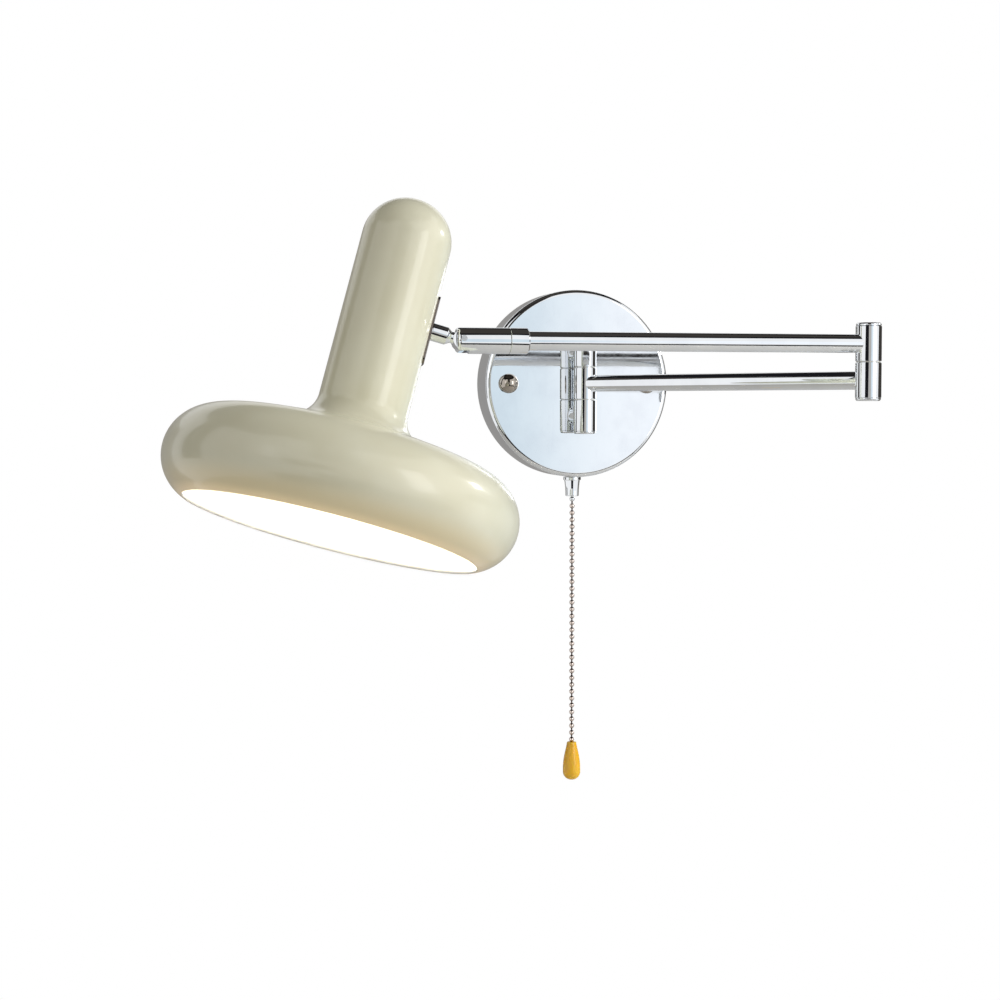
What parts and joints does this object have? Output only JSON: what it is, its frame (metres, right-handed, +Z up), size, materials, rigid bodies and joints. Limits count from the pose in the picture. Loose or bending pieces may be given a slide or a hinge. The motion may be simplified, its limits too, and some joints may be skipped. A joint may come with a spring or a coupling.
{
  "type": "extendable wall lamp",
  "caption": "Swing-arm wall lamp: round wall plate, jointed tube arm, tilting head with a mushroom-shaped metal shade, and a pull switch on a bead chain.",
  "frame": {"origin": "centre of the wall plate's back face, on the wall", "axes": "+X along the wall to the right as seen from the room, +Y into the wall, +Z up"},
  "size_m": [0.3828, 0.3116, 0.3427],
  "materials": {
    "chrome": "mirror-bright chrome plating",
    "zinc": "bright zinc-plated steel",
    "spring_steel": "dark spring steel",
    "bronze": "oiled sintered bronze",
    "brass": "plain turned brass",
    "cream_paint": "glossy cream powder coat, white inside",
    "nylon": "natural nylon",
    "phenolic": "ivory moulded plastic",
    "amber": "translucent amber plastic",
    "opal_glass": "opal white glass",
    "white_plastic": "white moulded plastic",
    "brown_pvc": "brown wire insulation",
    "blue_pvc": "blue wire insulation",
    "earth_pvc": "green and yellow wire insulation",
    "grey_pvc": "light grey cable sheath"
  },
  "bodies": {
    "wall_unit": {"mounting_bracket": "zinc", "bracket_studs": "zinc", "bracket_nuts": "zinc", "wall_plate": "chrome", "cap_nuts": "chrome", "upper_post_mount": "chrome", "lower_post_mount": "chrome", "post_nuts": "zinc", "post_shaft": "zinc", "post_end_caps": "chrome", "post_washers": "nylon", "terminal_block": "phenolic", "terminal_screws": "brass", "earth_screw": "brass", "live_wires": "brown_pvc", "neutral_wire": "blue_pvc", "earth_wire": "earth_pvc", "switch_housing": "white_plastic", "switch_cover": "white_plastic", "switch_contacts": "brass", "switch_nozzle": "chrome", "return_spring": "spring_steel"},
    "pull_switch": {"switch_plunger": "nylon", "chain_top": "chrome"},
    "pull_chain": {"bead_chain": "chrome", "pull_knob": "amber"},
    "lower_arm": {"lower_post_barrel": "chrome", "post_bushes": "bronze", "lower_arm_tube": "chrome", "lower_elbow_barrel": "chrome", "elbow_shaft": "zinc", "elbow_end_caps": "chrome", "elbow_washer": "nylon", "lower_arm_cable": "grey_pvc"},
    "upper_arm": {"upper_elbow_barrel": "chrome", "elbow_bushes": "bronze", "upper_arm_tube": "chrome", "arm_end_collar": "chrome", "spigot_clip": "spring_steel", "upper_arm_cable": "grey_pvc"},
    "swivel": {"swivel_sleeve": "chrome", "knuckle_pins": "zinc"},
    "head": {"head_knuckle": "chrome", "saddle_plate": "chrome", "knuckle_nut": "zinc", "holder_bracket": "zinc", "holder_nipple": "brass", "nipple_nut": "brass", "holder_cap": "phenolic", "holder_body": "phenolic", "contact_shell": "brass", "contact_tab": "brass", "bulb_cap": "zinc", "bulb_base": "white_plastic", "bulb_globe": "opal_glass", "head_cable": "grey_pvc", "lamp_shade": "cream_paint"}
  },
  "joints": [
    {"name": "post_swing", "type": "hinge", "parent": "wall_unit", "child": "lower_arm", "pos_m": [0, -0.045, 0], "axis": [0, 0, -1], "range_deg": [-55, 125]},
    {"name": "elbow_swing", "type": "hinge", "parent": "lower_arm", "child": "upper_arm", "pos_m": [0.11471, -0.20883, 0.0197], "axis": [0, 0, 1], "range_deg": [-25, 265]},
    {"name": "head_roll", "type": "hinge", "parent": "upper_arm", "child": "swivel", "pos_m": [-0.10798, -0.20883, 0.0197], "axis": [-1, 0, 0], "range_deg": [-175, 165]},
    {"name": "head_tilt", "type": "hinge", "parent": "swivel", "child": "head", "pos_m": [-0.10798, -0.20883, 0.0197], "axis": [0, 0.9877, -0.1564], "range_deg": [-64, 9]},
    {"name": "chain_pull", "type": "slide", "parent": "wall_unit", "child": "pull_switch", "axis": [0, 0, -1], "range_m": [0, 0.005], "stiffness_N_per_m": 400, "springref_m": -0.004, "deforming": ["return_spring"]},
    {"name": "chain_sway", "type": "hinge", "parent": "pull_switch", "child": "pull_chain", "pos_m": [0, -0.014, -0.07215], "axis": [0, 1, 0], "range_deg": [-35, 35]}
  ]
}
